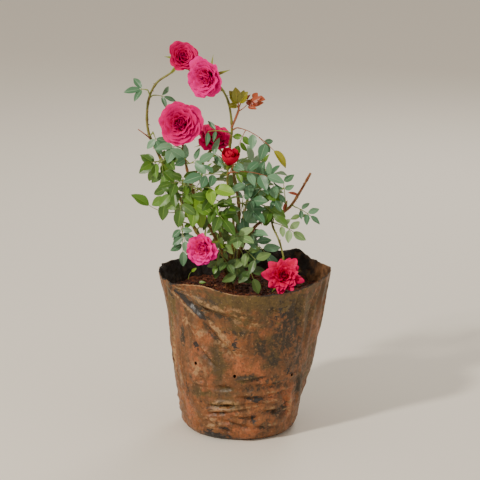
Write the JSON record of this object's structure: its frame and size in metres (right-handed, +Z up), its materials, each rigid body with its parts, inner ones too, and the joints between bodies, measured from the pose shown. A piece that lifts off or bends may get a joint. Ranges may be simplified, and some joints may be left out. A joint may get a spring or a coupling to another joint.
{
  "type": "potted miniature rose bush",
  "caption": "Small rose bush in a soft plastic nursery bag: thin arching canes, double pink and crimson blooms, one bud, compound leaves.",
  "frame": {"origin": "centre of the bag's flat underside", "axes": "+Z up, -Y towards the front of the bush, +X to the right as the front is seen"},
  "size_m": [0.2051, 0.16, 0.3907],
  "materials": {
    "film": "satin",
    "soil": "matte",
    "bark": "matte",
    "cane": "satin",
    "leaf": "satin",
    "young_leaf": "satin",
    "petal": "matte",
    "crimson_petal": "matte",
    "dark_petal": "matte"
  },
  "bodies": {
    "root": {"bag": "film", "soil": "soil", "trunk": "bark", "bloom_big": "petal", "bloom_dark": "dark_petal", "bloom_low_left": "petal", "bloom_low_right": "crimson_petal", "bloom_top_left": "petal", "bloom_top_right": "petal", "cane_back_left": "cane", "cane_back_right": "cane", "cane_centre": "cane", "cane_dark": "cane", "cane_front": "cane", "cane_left": "cane", "cane_low_left": "cane", "cane_low_right": "cane", "cane_mid": "cane", "cane_right": "cane", "cane_right_high": "cane", "leaves_back_left": "leaf", "leaves_back_low": "leaf", "leaves_back_right": "leaf", "leaves_back_top": "leaf", "leaves_bud_left": "leaf", "leaves_bud_right": "leaf", "leaves_centre": "leaf", "leaves_centre_left": "leaf", "leaves_dark_bloom": "leaf", "leaves_dark_front": "leaf", "leaves_left_hang": "leaf", "leaves_left_high": "leaf", "leaves_left_inner": "leaf", "leaves_left_low": "leaf", "leaves_left_mid": "leaf", "leaves_left_out": "leaf", "leaves_low_centre": "leaf", "leaves_low_front": "leaf", "leaves_low_left": "leaf", "leaves_low_right": "leaf", "leaves_mid": "leaf", "leaves_mid_front": "leaf", "leaves_mid_high": "leaf", "leaves_mid_left": "leaf", "leaves_right_high": "leaf", "leaves_right_low": "leaf", "leaves_right_mid": "leaf", "leaves_right_out": "leaf", "leaves_right_top": "leaf", "leaves_right_up": "leaf", "leaves_top_inner": "leaf", "leaves_top_left": "leaf", "leaves_under_big": "leaf", "new_shoot": "young_leaf", "rose_bud": "crimson_petal"}
  },
  "joints": []
}
